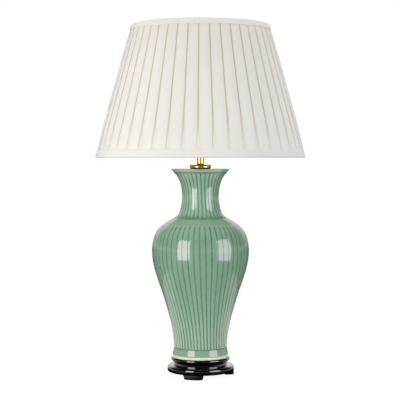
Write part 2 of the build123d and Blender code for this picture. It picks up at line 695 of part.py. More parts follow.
def shade_lining():
    """Plain cloth inside the wires, with slits where the fitter's arms pass through."""
    low, middle, high = cloth_heights()
    heights = (low + LINING_TRIM, middle, high - LINING_TRIM)
    outer = [(shade_r(z, LINING_INSET), z) for z in heights]
    inner = [(shade_r(z, LINING_INSET + LINING_T), z) for z in reversed(heights)]
    return turned_polygon(*outer, *inner) - arm_slits()


def binding(edge_z, inward):
    """Band folded over an edge of the shade; inward is +1 at the bottom edge and -1 at the top."""
    def at(inset, height):
        z = edge_z + inward * height
        return (shade_r(z, inset), z)
    outer = -BINDING_T - BINDING_FIT
    inner = LINING_INSET + LINING_T + BINDING_FIT
    outline = [at(outer, 0), at(outer, BINDING_H), at(-BINDING_FIT, BINDING_H), at(-BINDING_FIT, BINDING_T),
               at(inner, BINDING_T), at(inner, BINDING_INNER_H), at(inner + BINDING_T, BINDING_INNER_H),
               at(inner + BINDING_T, 0)]
    return turned_polygon(*outline) - arm_slits()


def wire_place(edge_z, inward):
    """Centre of a wire ring near an edge of the shade, as (radius, height)."""
    z = edge_z + inward * (BINDING_T + BINDING_FIT + WIRE_R + WIRE_FIT)
    return shade_r(z, WIRE_INSET), z


TOP_WIRE = wire_place(SHADE_TOP_Z, -1)
BOTTOM_WIRE = wire_place(SHADE_BOTTOM_Z, 1)


def wire_ring(place):
    radius, z = place
    return Pos(0, 0, z) * Torus(radius, WIRE_R)


def bent_rod(path, radius):
    return sweep(Plane(origin=path @ 0, z_dir=path % 0) * Circle(radius), path)


def shade_struts():
    """Wires from the bottom ring to the top ring, bent a little where the cloth is fullest."""
    middle = cloth_heights()[1]
    rings = [wire_ring(TOP_WIRE), wire_ring(BOTTOM_WIRE)]
    struts = []
    for h in headings(STRUTS, 360.0 / STRUTS / 2):
        low = on_circle(BOTTOM_WIRE[0], h, BOTTOM_WIRE[1])
        bend = on_circle(shade_r(middle, WIRE_INSET), h, middle)
        high = on_circle(TOP_WIRE[0], h, TOP_WIRE[1])
        path = FilletPolyline(low, bend, high, radius=SHADE_H)
        struts.append(bent_rod(path, STRUT_R) - rings)
    return Compound(children=struts)


def shade_fitter():
    """Flat ring that sits on the lampholder's shoulder."""
    return tube(FITTER_R, SKIRT_R + FITTER_BORE_FIT, FITTER_Z, FITTER_T)


def arms(radius):
    """The fitter's arms at this thickness: out from the ring's edge, then up to the top wire."""
    z = FITTER_Z + FITTER_T / 2
    solids = []
    for h in headings(ARMS, ARM_TURN):
        hub = on_circle(FITTER_R, h, z)
        knee = on_circle(FITTER_R + ARM_REACH, h, z)
        rim = on_circle(TOP_WIRE[0], h, TOP_WIRE[1])
        solids.append(bent_rod(FilletPolyline(hub, knee, rim, radius=ARM_BEND), radius))
    return solids


def fitter_arms():
    return Compound(children=[arm - wire_ring(TOP_WIRE) - shade_fitter() for arm in arms(ARM_R)])


def arm_slits():
    return arms(ARM_R + ARM_FIT)


os.makedirs("parts", exist_ok=True)
save("felt_pads", felt_pads())
save("stand_feet", stand_feet())
save("stand_plate", stand_plate())
save("stand_collar", stand_collar())
save("foot_gasket", foot_gasket())
save("cord_bush", cord_bush())
save("vase", vase())
save("threaded_rod", threaded_rod())
save("clamp_washer", tube(CLAMP_WASHER_R, ROD_R + ROD_FIT, CLAMP_Z - CLAMP_WASHER_T, CLAMP_WASHER_T))
save("lock_washer", lock_washer())
save("clamp_nut", hex_nut(NUT_FLATS, NUT_Z, NUT_T))
save("cap_washer", cap_washer())
save("vase_cap", vase_cap())
save("stem_tube", stem_tube())
save("holder_cap", holder_cap())
save("holder_nut", hex_nut(HOLDER_NUT_FLATS, HOLDER_Z + HOLDER_WALL, HOLDER_NUT_T))
save("holder_core", holder_core())
save("terminal_screws", terminal_screws())
save("centre_contact", centre_contact())
save("side_contact", side_contact())
save("screw_shell", screw_shell())
save("holder_skirt", holder_skirt())
save("switch_bar", switch_bar())
save("shade_ring", shade_ring())
save("bulb_tip", bulb_tip())
save("bulb_insulator", bulb_insulator())
save("bulb_cap", bulb_cap())
save("bulb_glass", bulb_glass())
save("shade_fitter", shade_fitter())
save("fitter_arms", fitter_arms())
save("top_wire", wire_ring(TOP_WIRE))
save("bottom_wire", wire_ring(BOTTOM_WIRE))
save("shade_struts", shade_struts())
save("shade_lining", shade_lining())
save("pleated_cover", pleated_cover())
save("top_binding", binding(SHADE_TOP_Z, -1))
save("bottom_binding", binding(SHADE_BOTTOM_Z, 1))
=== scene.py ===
import math

import bpy
import numpy as np
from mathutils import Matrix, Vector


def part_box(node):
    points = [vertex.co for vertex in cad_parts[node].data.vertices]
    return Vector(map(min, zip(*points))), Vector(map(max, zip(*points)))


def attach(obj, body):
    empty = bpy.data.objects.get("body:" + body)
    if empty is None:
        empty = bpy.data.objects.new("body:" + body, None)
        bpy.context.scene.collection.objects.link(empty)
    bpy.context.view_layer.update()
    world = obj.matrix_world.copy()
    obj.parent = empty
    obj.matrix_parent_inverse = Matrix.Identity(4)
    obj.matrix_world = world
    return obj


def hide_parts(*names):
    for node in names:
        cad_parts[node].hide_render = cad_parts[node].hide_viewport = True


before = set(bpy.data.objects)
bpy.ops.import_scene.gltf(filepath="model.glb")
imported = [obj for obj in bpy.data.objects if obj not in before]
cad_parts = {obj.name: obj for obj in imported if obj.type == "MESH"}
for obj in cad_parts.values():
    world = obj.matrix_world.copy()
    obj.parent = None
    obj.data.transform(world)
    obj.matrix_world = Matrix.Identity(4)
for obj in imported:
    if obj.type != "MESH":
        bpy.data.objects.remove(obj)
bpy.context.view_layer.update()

# Table lamp: looks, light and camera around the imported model. Metres, +Z up, the front looks along -Y.

# ---- camera
CAMERA_X = -0.001
CAMERA_DISTANCE = 2.73
CAMERA_HEIGHT = 0.476
CAMERA_TILT = math.radians(1.925)
CAMERA_LENS = 112.5
CAMERA_FAR = 50.0
SENSOR = 36.0

# ---- vase, with the heights taken above its foot
VASE_FOOT_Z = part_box("vase")[0].z
VASE_TOP_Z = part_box("vase")[1].z
VASE_H = VASE_TOP_Z - VASE_FOOT_Z
FOOT_R = 0.0606
FOOT_RING = 0.0085          # width of the ring that it stands on
FOOT_BEVEL = 0.0012
FOOT_HOLLOW_H = 0.0040
GLAZE_EDGE_R = 0.0613
GLAZE_BEAD = 0.0005         # how far the glaze swells above its lower edge
BARE_FOOT_H = 0.0070
WAIST_H = 0.0234
WAIST_R = 0.0580
BELLY_H = 0.5695 * VASE_H
BELLY_R = 0.1059
NECK_H = 0.852 * VASE_H
NECK_R = 0.0400
MOUTH_R = 0.0642
BODY_FLUTES = 51
BODY_FLUTES_TO = 0.7020 * VASE_H
NECK_FLUTES = 34
NECK_FLUTES_FROM = 0.7450 * VASE_H
NECK_FLUTES_TO = 0.975 * VASE_H
FLUTE_DEPTH = 0.00008       # what the glaze leaves of the carved grooves
RING_GROOVE = 0.0008
SHOULDER_STEP = 0.0002      # how far the band between the flutes stands proud
NECK_GROOVE = 0.0009
LIP_ROUND = 0.0012
LIP_BAND = 0.0085           # from the mouth down to the middle of the dark band under it
MOUTH_DISH = 0.0004
VASE_WALL = 0.0060
MOUTH_WALL = 0.0070
BUNG_HOLE_R = 0.0094
BUNG_COLLAR = 0.0040
# how far round the hand-cut flutes drift on their way up: (height above the foot, degrees)
BODY_LEAN = ((0.020, 8.4), (0.080, 4.95), (0.133, 1.7), (0.185, 0.0), (0.240, -0.9), (0.290, -1.0))
NECK_LEAN = ((0.300, 4.0), (0.325, 4.8), (0.353, 3.4), (0.372, 2.2), (0.405, -0.2))
# outline between the named places, as shares of the way up and of the change in radius
LOWER_CURVE = ((0.168, 0.067), (0.375, 0.28), (0.583, 0.562), (0.79, 0.864))
SHOULDER_CURVE = ((0.258, 0.077), (0.408, 0.228), (0.503, 0.426),
                  (0.577, 0.639), (0.634, 0.8), (0.747, 0.926))
MOUTH_CURVE = ((0.378, 0.091), (0.593, 0.256), (0.81, 0.599), (0.916, 0.83))
VASE_TURNS = 816            # points round the vase: a multiple of both flute counts
VASE_ROW = 0.0025
INSIDE_ROWS = 40
GROOVE_SHARPNESS = 6.0
GROOVE_LINE = 0.0014        # half the width of the dark line that the glaze leaves in a groove
GROOVE_CROWDING = 0.6       # how far the points round the vase crowd towards the grooves
REED_POOL = 0.04            # share of dark glaze on the crown of a reed
LOW_THIN = 0.62             # share of pale, thin glaze on the reeds just above the foot
LOW_THIN_H = 0.17           # how far up the body it reaches
# height over which the painted light on the crowns of the shoulder and neck fades in
SHOULDER_BLEND = 0.030

# ---- shade
SHADE_LOW_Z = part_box("bottom_binding")[0].z
SHADE_HIGH_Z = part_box("top_binding")[1].z
SHADE_H = SHADE_HIGH_Z - SHADE_LOW_Z
SHADE_BOTTOM_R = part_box("bottom_binding")[1].x
SHADE_TOP_R = 0.1500
SHADE_BELLY = 0.0015
SHADE_BELLY_AT = 0.28
PLEATS = 44
PLEAT_TURN = math.radians(-1.2)
PLEAT_GAP_TOP = 0.0022
PLEAT_GAP_BOTTOM = 0.0076
PLEAT_GAP_GROWTH = 4.5      # how late on the way down the gaps widen
PLEAT_OPEN = (0.0029, 0.0056)   # painted shade: gaps in which the cloth behind turns from dark to light
PLEAT_LAYER = 0.0004        # from one layer of the folded cloth to the next
PLEAT_CLOTH = 0.0544        # cloth in one pleat, folds included
PLEAT_PUFF = 0.0011         # how far a pleat's face swells in the middle
PLEAT_PUFF_SPREAD = (0.55, 1.25)
PLEAT_DRIFT = 0.00035       # how unevenly the folds are laid
PLEAT_INSET = 0.0006        # from the cloth's ends to the shade's edges
FACE_POINTS = 11
FACE_INSET = 0.0002
# painted shade on a pleat's folded edges and on the sides of the gap behind them
EDGE_TONE = 0.2
FACE_TONES = (0.22, 0.08)   # painted shade and bounce light: cream along the left and the right edge of a pleat's face, beside its folds
TOP_TONE = 0.26             # painted shade: share of the folds' darker cream on the cloth at the shade's top, less further down
LOW_TONE = 0.35             # what is left of the painted fold shade where the pleats meet the bottom binding
SHADE_ROWS = 36
SHADE_TURNS = 240
CLOTH_GAP = 0.00005         # from the cloth to the binding over it
BINDING_T = 0.0005
BINDING_H = 0.0125
BINDING_INNER_H = 0.0090
BINDING_REACH = 0.0070      # from the cloth's face to the binding's inner leg
BINDING_DROP = 0.0046       # how far the rolled tape hangs below the bottom edge
BINDING_BEND = 13           # points round the roll
LINING_INSET = 0.0056
LINING_END = 0.0036
LINING_ROWS = 30

# ---- felt under the feet and under the vase
FEET = 3
FEET_TURN = math.radians(-13.0)
PAD_MIDDLE_R = 0.0621
PAD_WIDTH = 0.0304
PAD_LENGTH = 0.0150
PAD_CORNER = 0.0030
PAD_CORNER_POINTS = 6
# a pad's soft edge from its sole up: (inset, share of its height)
PAD_SECTION = ((0.0006, 0.0), (0.0001, 0.2), (0.0, 0.5), (0.0001, 0.8), (0.0006, 1.0))
GASKET_OUTER_R = 0.0601
GASKET_INNER_R = 0.0526
GASKET_TURNS = 144
FELT_TAPE = 0.010           # width of the tape that the ring is trimmed from

# ---- light and table
FILL = 0.34
FILL_LOW = 0.16
FILL_Z = (-0.4, 0.1)        # between these directions the fill grows from low to full
BEHIND_Y = (0.5, 0.85)      # the white backdrop in reflections: it begins between these directions
BEHIND_Z = (0.0, 0.2)
STUDIO_FRONT = 0.48         # a bright strip at the height of the eye, which the brass shows
STUDIO_FRONT_Z = (-0.05, 0.0)
STUDIO_HIGH = 0.04
STUDIO_HIGH_Z = (0.06, 0.14)
STUDIO_LOW = 0.02
FLOOR_RINGS = (0.0001, 0.05, 0.1, 0.2, 0.3, 0.4, 0.5, 0.56)
FLOOR_TURNS = 96
FLOOR_DROP = 0.0003         # keeps the table clear of the felt's underside
FLOOR_WHITE = (0.82, 0.82, 0.82, 1.0)
FLOOR_CAMERA = 0.8          # share of its own glow that the camera sees on the table
FLOOR_CAMERA_GLOW = 1.16
FLOOR_FRONT = 0.04          # share of the glow that reflections show on the table's front part
FLOOR_GLOW = 0.85
FLOOR_DIM_Y = -0.16
FLOOR_BRIGHT_Y = 0.02
FLOOR_SHADE_R = 0.14        # painted shadow: the table is dark in reflections this close to the lamp
WARM = (1.0, 0.99, 0.965)
COOL = (0.97, 0.985, 1.0)
WARM_SIDE = (1.0, 0.985, 0.96)
COOL_SIDE = (0.98, 0.99, 1.0)
BOX_LOW = -0.20
BOX_HIGH = 1.15
# upright soft lights: name, heading (0 is the front, + to the right), distance, width, low, high, watts,
# colour, and the kind of ray that doesn't see it
SOFTBOXES = (("softbox_left", -39.5, 1.7, 0.90, BOX_LOW, BOX_HIGH, 21.5, WARM, None),
             ("softbox_right", 57.0, 1.7, 1.12, BOX_LOW, BOX_HIGH, 14.0, COOL, None),
             ("side_left", -86.0, 1.9, 1.2, 0.0, 1.3, 3.0, WARM_SIDE, "visible_glossy"),
             ("gleam_right", 57.0, 1.69, 1.12, BOX_LOW, BOX_HIGH, 6.0, COOL, "visible_diffuse"))
OVERHEAD_SIZE = 1.8
OVERHEAD_PLACE = (0.0, 0.2, 2.4)
OVERHEAD_WATTS = 5.0
HIGH_SIZE = 0.6
HIGH_Z = 2.1
HIGH_AIM = 1.5              # how far below themselves the high lights look
HIGH_LIGHTS = (("high_left", -1.0, 4.5, WARM_SIDE), ("high_right", 1.0, 9.5, COOL_SIDE))


def srgb(r, g, b):
    """Linear colour from the 0-255 values seen on a screen."""
    def channel(v):
        v /= 255.0
        return v / 12.92 if v <= 0.04045 else ((v + 0.055) / 1.055) ** 2.4
    return (channel(r), channel(g), channel(b), 1.0)


# ---------------------------------------------------------------- meshes
def smooth_curve(xs, ys):
    """Natural cubic spline through the points, as a function of arrays."""
    x = np.array(xs, float)
    y = np.array(ys, float)
    n = len(x)
    h = np.diff(x)
    system = np.eye(n)
    right = np.zeros(n)
    for i in range(1, n - 1):
        system[i, i - 1] = h[i - 1]
        system[i, i] = 2 * (h[i - 1] + h[i])
        system[i, i + 1] = h[i]
        right[i] = 6 * ((y[i + 1] - y[i]) / h[i] - (y[i] - y[i - 1]) / h[i - 1])
    bend = np.linalg.solve(system, right)

    def value(at):
        at = np.asarray(at, float)
        i = np.clip(np.searchsorted(x, at) - 1, 0, n - 2)
        a = (x[i + 1] - at) / h[i]
        b = (at - x[i]) / h[i]
        bow = ((a ** 3 - a) * bend[i] + (b ** 3 - b) * bend[i + 1]) * h[i] ** 2 / 6
        return a * y[i] + b * y[i + 1] + bow
    return value


def fade(value, start, end):
    """0 at start and 1 at end, with a soft run between them."""
    t = np.clip((value - start) / (end - start), 0.0, 1.0)
    return t * t * (3 - 2 * t)


def build(name, points, faces):
    mesh = bpy.data.meshes.new(name)
    mesh.from_pydata([tuple(p) for p in points], [], faces)
    mesh.update()
    mesh.polygons.foreach_set("use_smooth", [True] * len(mesh.polygons))
    piece = bpy.data.objects.new(name, mesh)
    bpy.context.scene.collection.objects.link(piece)
    return piece


def grid_faces(rows, columns, close_rows=False):
    """Quads between the closed rings of a grid of points, stored ring by ring."""
    faces = []
    for i in range(rows if close_rows else rows - 1):
        for j in range(columns):
            nj = (j + 1) % columns
            ni = (i + 1) % rows
            faces.append((i * columns + j, i * columns + nj, ni * columns + nj, ni * columns + j))
    return faces


def ring_points(radii, heights, angles):
    """Grid of points: radii and heights have one row per ring and one column per angle."""
    x = radii * np.sin(angles)
    y = -radii * np.cos(angles)
    return np.stack([x, y, np.broadcast_to(heights, radii.shape)], axis=-1).reshape(-1, 3)


def lathe(name, section, turns, close=True):
    """Mesh turned from a section of (radius, height) points; close joins its last point to the first."""
    angles = np.linspace(0.0, 2 * np.pi, turns, endpoint=False)
    radii = np.array([[r] for r, _ in section]) * np.ones((1, turns))
    heights = np.array([[z] for _, z in section])
    return build(name, ring_points(radii, heights, angles), grid_faces(len(section), turns, close_rows=close))


def store(piece, name, values):
    """Keep one number per vertex on the mesh, for its material."""
    layer = piece.data.attributes.new(name, "FLOAT", "POINT")
    layer.data.foreach_set("value", np.asarray(values, np.float32).reshape(-1))


# ---------------------------------------------------------------- materials
class Tree:
    """A node tree and short ways to add nodes to it. Values may be sockets or fixed."""

    def __init__(self, tree):
        self.nodes = tree.nodes
        self.links = tree.links

    def node(self, kind, **settings):
        made = self.nodes.new(kind)
        for key, value in settings.items():
            setattr(made, key, value)
        return made

    def feed(self, value, target):
        if isinstance(value, bpy.types.NodeSocket):
            self.links.new(value, target)
        else:
            target.default_value = value

    def maths(self, operation, a, b):
        made = self.node("ShaderNodeMath", operation=operation)
        self.feed(a, made.inputs[0])
        self.feed(b, made.inputs[1])
        return made.outputs["Value"]

    def spread(self, value, low, high, from_low=0.0, from_high=1.0, run="LINEAR"):
        """Bring a value from one range into another, held at its ends."""
        made = self.node("ShaderNodeMapRange", interpolation_type=run)
        for key, number in (("From Min", from_low), ("From Max", from_high),
                            ("To Min", low), ("To Max", high)):
            made.inputs[key].default_value = number
        self.feed(value, made.inputs["Value"])
        return made.outputs["Result"]

    def mix(self, factor, a, b, kind="RGBA"):
        made = self.node("ShaderNodeMix", data_type=kind)
        sockets = {socket.name: socket for socket in made.inputs if socket.enabled}
        for name, value in (("Factor", factor), ("A", a), ("B", b)):
            self.feed(value, sockets[name])
        return [socket for socket in made.outputs if socket.enabled][0]

    def axis(self, vector, name):
        made = self.node("ShaderNodeSeparateXYZ")
        self.feed(vector, made.inputs["Vector"])
        return made.outputs[name]

    def rays(self):
        """Whether the camera looks straight at a place, and whether a mirror or glass does."""
        path = self.node("ShaderNodeLightPath")
        mirrored = self.maths("MAXIMUM", path.outputs["Is Glossy Ray"], path.outputs["Is Transmission Ray"])
        return path.outputs["Is Camera Ray"], mirrored


class Look(Tree):
    """A Principled material."""

    def __init__(self, name, sockets):
        self.material = bpy.data.materials.new(name)
        self.material.use_nodes = True
        super().__init__(self.material.node_tree)
        self.shader = self.nodes["Principled BSDF"]
        self.output = self.nodes["Material Output"]
        for key, value in sockets.items():
            self.feed(value, self.shader.inputs[key])

    def place(self, scale=(1.0, 1.0, 1.0)):
        """Object coordinates, stretched."""
        where = self.node("ShaderNodeTexCoord")
        mapping = self.node("ShaderNodeMapping")
        mapping.inputs["Scale"].default_value = scale
        self.feed(where.outputs["Object"], mapping.inputs["Vector"])
        return mapping.outputs["Vector"]

    def noise(self, scale, detail=3.0, stretch=(1.0, 1.0, 1.0)):
        texture = self.node("ShaderNodeTexNoise")
        texture.inputs["Scale"].default_value = scale
        texture.inputs["Detail"].default_value = detail
        self.feed(self.place(stretch), texture.inputs["Vector"])
        return texture.outputs["Fac"]

    def attribute(self, name):
        return self.node("ShaderNodeAttribute", attribute_name=name).outputs["Fac"]

    def bump(self, height, distance, strength):
        made = self.node("ShaderNodeBump")
        made.inputs["Distance"].default_value = distance
        made.inputs["Strength"].default_value = strength
        self.feed(height, made.inputs["Height"])
        self.feed(made.outputs["Normal"], self.shader.inputs["Normal"])

    def colour(self, value):
        self.feed(value, self.shader.inputs["Base Color"])

    def rough(self, value):
        self.feed(value, self.shader.inputs["Roughness"])

    def blend_with(self, other, factor):
        """Mix the Principled shader with another one."""
        both = self.node("ShaderNodeMixShader")
        self.feed(factor, both.inputs["Fac"])
        self.feed(self.shader.outputs["BSDF"], both.inputs[1])
        self.feed(other, both.inputs[2])
        self.feed(both.outputs["Shader"], self.output.inputs["Surface"])


def celadon():
    """Pale green glaze: thin and pale on the reeds, pooled and dark in the grooves, and painted light on the
    crowns of the shoulder and neck, which the shade above keeps dim.
    """
    look = Look("celadon_glaze", {"IOR": 1.52, "Specular IOR Level": 0.8,
                                  "Specular Tint": (1.0, 0.8, 0.95, 1.0)})
    drift = look.noise(9.0)
    fine = look.noise(160.0, 4.0)
    crown = look.mix(drift, srgb(121, 157, 132), srgb(134, 169, 144))
    pooled = look.mix(drift, srgb(58, 107, 77), srgb(78, 124, 94))
    # painted light: above the body's flutes the crowns turn lighter, standing in for the light that the shade
    # keeps off the shoulder and neck
    shoulder_z = VASE_FOOT_Z + BODY_FLUTES_TO
    upper = look.spread(look.axis(look.place(), "Z"), 0.0, 1.0, shoulder_z - SHOULDER_BLEND, shoulder_z)
    crown = look.mix(upper, crown, srgb(149, 188, 162))
    uneven = look.spread(look.noise(45.0, 2.0, (1.0, 1.0, 0.3)), 0.72, 1.1, 0.3, 0.7)
    base = look.mix(look.maths("MULTIPLY", look.attribute("pool"), uneven), crown, pooled)
    base = look.mix(look.attribute("thin"), base, srgb(184, 198, 180))
    base = look.mix(look.spread(fine, 0.0, 0.16, 0.35, 0.75), base, srgb(160, 182, 160))
    look.colour(base)
    look.rough(look.maths("ADD", look.spread(look.noise(30.0, 2.0), 0.05, 0.11),
                          look.maths("MULTIPLY", look.attribute("pool"), 0.18)))
    ripple = look.maths("ADD", look.noise(55.0, 2.0), look.maths("MULTIPLY", fine, 0.25))
    look.bump(ripple, 0.0002, 0.22)
    return look.material


def bare_clay():
    look = Look("bare_clay", {"Roughness": 0.8})
    look.colour(look.mix(look.noise(120.0, 4.0), srgb(216, 211, 190), srgb(236, 230, 212)))
    look.bump(look.noise(500.0), 0.0002, 0.6)
    return look.material


def lacquer(name, coat, gloss, smooth, dull):
    """Black lacquer over wood: deep gloss where it is polished, faint grain, a little wear."""
    look = Look(name, {"IOR": 1.5, "Specular IOR Level": gloss, "Coat Weight": coat,
                       "Coat Roughness": 0.08, "Coat IOR": 1.6})
    grain = look.noise(28.0, 5.0, (1.0, 1.0, 7.0))
    worn = look.spread(grain, 0.0, 0.6, 0.62, 0.8)
    look.colour(look.mix(worn, srgb(4, 4, 4), srgb(22, 17, 15)))
    look.rough(look.spread(look.noise(70.0), smooth, dull))
    look.bump(grain, 0.0003, 0.25)
    return look.material


def brass():
    look = Look("polished_brass", {"Metallic": 1.0})
    look.colour(look.mix(look.noise(40.0, 4.0), srgb(222, 172, 82), srgb(236, 194, 108)))
    look.rough(look.spread(look.noise(260.0, 3.0, (1.0, 1.0, 0.15)), 0.03, 0.08))
    look.bump(look.noise(900.0, 2.0, (1.0, 1.0, 0.08)), 0.00005, 0.3)
    return look.material


def metal(name, dark, light, roughness):
    look = Look(name, {"Metallic": 1.0})
    look.colour(look.mix(look.noise(90.0, 4.0), dark, light))
    look.rough(look.spread(look.noise(300.0, 3.0, (1.0, 1.0, 0.2)), roughness * 0.8, roughness * 1.4))
    look.bump(look.noise(1200.0, 2.0), 0.00005, 0.3)
    return look.material


def plain(name, dark, light, roughness, grain=400.0, depth=0.0001):
    """Dull material with a fine grain: felt, rubber, plastic, porcelain, paint."""
    look = Look(name, {"Roughness": roughness})
    look.colour(look.mix(look.noise(grain * 0.3, 4.0), dark, light))
    look.bump(look.noise(grain), depth, 0.5)
    return look.material


def cloth(name, light, shade, weave, through, fold=None):
    """Woven cloth: threads, slubs and streaks, soft sheen, some light coming through; fold names an attribute
    of painted shade in the pleats' folds.
    """
    look = Look(name, {"Roughness": 0.92, "Sheen Weight": 0.15, "Sheen Roughness": 0.5})
    slub = look.noise(420.0, 4.0, (1.0, 1.0, 0.12))
    tint = look.mix(look.noise(14.0), light, shade)
    tint = look.mix(look.spread(slub, 0.0, 0.35, 0.45, 0.75), tint, shade)
    streak = look.noise(110.0, 2.0, (1.0, 1.0, 0.06))
    tint = look.mix(look.spread(streak, 0.0, 0.6, 0.4, 0.8), tint, shade)
    if fold:
        # painted shade: the folds and slits darken to tan by the attribute that fold names
        tint = look.mix(look.attribute(fold), tint, srgb(216, 207, 182))
    look.colour(tint)
    up = look.node("ShaderNodeTexWave", wave_type="BANDS", bands_direction="Z")
    up.inputs["Scale"].default_value = weave / 6.0
    look.feed(look.place(), up.inputs["Vector"])
    threads = look.maths("ADD", up.outputs["Fac"], look.noise(weave, 2.0, (1.0, 1.0, 0.2)))
    look.bump(threads, 0.00012, 0.6)
    glow = look.node("ShaderNodeBsdfTranslucent")
    look.feed(tint, glow.inputs["Color"])
    look.blend_with(glow.outputs["BSDF"], through)
    return look.material


def opal_glass():
    look = Look("opal_glass", {"IOR": 1.5, "Transmission Weight": 0.35})
    look.colour(look.mix(look.noise(20.0, 2.0), srgb(238, 237, 232), srgb(248, 247, 244)))
    look.rough(look.spread(look.noise(80.0, 2.0), 0.14, 0.24))
    return look.material


def dress(material, *nodes):
    """Give CAD nodes a material in place of the one they came with."""
    for name in nodes:
        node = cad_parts[name]
        if not node.material_slots:
            node.data.materials.append(material)
        for slot in node.material_slots:
            slot.material = material


# ---------------------------------------------------------------- vase
def vase_outline():
    """Outer radius of the vase at a height above its foot, from the waist over the foot up to the mouth."""
    stations = [(WAIST_H, WAIST_R), (BELLY_H, BELLY_R), (NECK_H, NECK_R), (VASE_H, MOUTH_R)]
    heights = [stations[0][0]]
    radii = [stations[0][1]]
    for curve, (h0, r0), (h1, r1) in zip((LOWER_CURVE, SHOULDER_CURVE, MOUTH_CURVE), stations, stations[1:]):
        for up, out in curve + ((1.0, 1.0),):
            heights.append(h0 + (h1 - h0) * up)
            radii.append(r0 + (r1 - r0) * out)
    return smooth_curve(heights, radii)


OUTLINE = vase_outline()


def row(radius, height, pool=0.0, thin=0.0, flutes=0, depth=0.0):
    """One ring of the vase, with its shares of dark and of thin glaze and its flutes."""
    return (float(radius), height, pool, thin, flutes, depth)


def foot_rows():
    """The bare foot, from the inside of the ring that it stands on up to the glaze."""
    rows = [row(FOOT_R - FOOT_RING, 0.0), row(FOOT_R - FOOT_BEVEL, 0.0),
            row(FOOT_R - FOOT_BEVEL / 4, FOOT_BEVEL / 3), row(FOOT_R, FOOT_BEVEL)]
    rows += [row(FOOT_R, h) for h in np.linspace(FOOT_BEVEL + 0.001, BARE_FOOT_H - 0.0006, 4)]
    return rows


def foot_band_rows():
    """The smooth glazed band over the foot, with the ring groove at its top."""
    rows = [row(FOOT_R + 0.0001, BARE_FOOT_H - 0.0001, thin=0.6)]
    groove_h = WAIST_H - 2 * RING_GROOVE
    for t in np.linspace(0.0, 1.0, 12):
        edge = 1.0 - fade(t, 0.0, 0.12)
        r = GLAZE_EDGE_R + (WAIST_R - GLAZE_EDGE_R) * (1.35 * t - 0.35 * t * t)
        rows.append(row(r - GLAZE_BEAD * edge, BARE_FOOT_H + (groove_h - BARE_FOOT_H) * t,
                        pool=0.25 * fade(t, 0.6, 1.0), thin=0.35 * edge))
    for t in np.linspace(0.15, 1.0, 6):
        dip = math.sin(math.pi * t)
        rows.append(row(WAIST_R - RING_GROOVE * dip, groove_h + 2 * RING_GROOVE * t, pool=0.35 + 0.65 * dip))
    return rows


def body_rows():
    """The reeded body, pale near the foot and along the upper ends of the reeds."""
    rows = []
    count = int((BODY_FLUTES_TO - WAIST_H) / VASE_ROW)
    for h in np.linspace(WAIST_H + 0.0004, BODY_FLUTES_TO, count):
        starts = fade(h, WAIST_H, WAIST_H + 0.002)
        ends = fade(h, BODY_FLUTES_TO - 0.0015, BODY_FLUTES_TO)
        low = 1.0 - fade(h, WAIST_H - 0.01, WAIST_H + LOW_THIN_H)
        rim = fade(h, BODY_FLUTES_TO - 0.004, BODY_FLUTES_TO)
        rows.append(row(OUTLINE(h), h, pool=REED_POOL, thin=LOW_THIN * low ** 1.3 + 0.35 * rim,
                        flutes=BODY_FLUTES, depth=FLUTE_DEPTH * starts * (1.0 - ends)))
    return rows


def shoulder_rows():
    """The smooth band between the flutes, down into the dark ring under the neck."""
    rows = []
    for h in np.linspace(BODY_FLUTES_TO + 0.0012, NECK_FLUTES_FROM, 14):
        rim = 1.0 - fade(h, BODY_FLUTES_TO, BODY_FLUTES_TO + 0.003)
        dark = fade(h, NECK_FLUTES_FROM - 0.005, NECK_FLUTES_FROM)
        rows.append(row(OUTLINE(h) + SHOULDER_STEP - NECK_GROOVE * dark, h,
                        pool=0.08 + 0.92 * dark, thin=0.06 + 0.4 * rim))
    return rows


def neck_rows():
    """The reeded neck, dark where its flutes begin and paler towards the mouth."""
    rows = []
    count = int((NECK_FLUTES_TO - NECK_FLUTES_FROM) / VASE_ROW)
    for h in np.linspace(NECK_FLUTES_FROM + 0.0006, NECK_FLUTES_TO, count):
        starts = fade(h, NECK_FLUTES_FROM, NECK_FLUTES_FROM + 0.0015)
        ends = fade(h, NECK_FLUTES_TO - 0.003, NECK_FLUTES_TO)
        dark = 1.0 - fade(h, NECK_FLUTES_FROM + 0.001, NECK_FLUTES_FROM + 0.006)
        rows.append(row(OUTLINE(h), h, pool=REED_POOL + 0.6 * dark,
                        thin=0.08 + 0.2 * fade(h, NECK_H, NECK_FLUTES_TO),
                        flutes=NECK_FLUTES, depth=FLUTE_DEPTH * starts * (1.0 - ends)))
    return rows


def mouth_rows():
    """The dark band under the mouth, the pale lip and the glazed top round the bung's hole."""
    rows = []
    for h in np.linspace(NECK_FLUTES_TO + 0.001, VASE_H - LIP_ROUND * 1.4, 7):
        pale = fade(h, VASE_H - 0.0068, VASE_H - 0.005)
        dark = 1.0 - fade(abs(h - (VASE_H - LIP_BAND)), 0.001, 0.005)
        rows.append(row(OUTLINE(h), h, pool=0.1 + 0.65 * dark, thin=0.9 * pale))
    lip_r = float(OUTLINE(VASE_H - LIP_ROUND)) - LIP_ROUND * 0.35
    for turn in np.radians(np.linspace(-35, 90, 7)):
        rows.append(row(lip_r + LIP_ROUND * math.cos(turn) * 0.9,
                        VASE_H - LIP_ROUND + LIP_ROUND * math.sin(turn), thin=1.0))
    for t in np.linspace(0.1, 1.0, 8):
        rows.append(row(lip_r + (BUNG_HOLE_R - lip_r) * t, VASE_H - MOUTH_DISH * math.sin(math.pi * t),
                        pool=0.1, thin=0.9 * (1 - t)))
    return rows


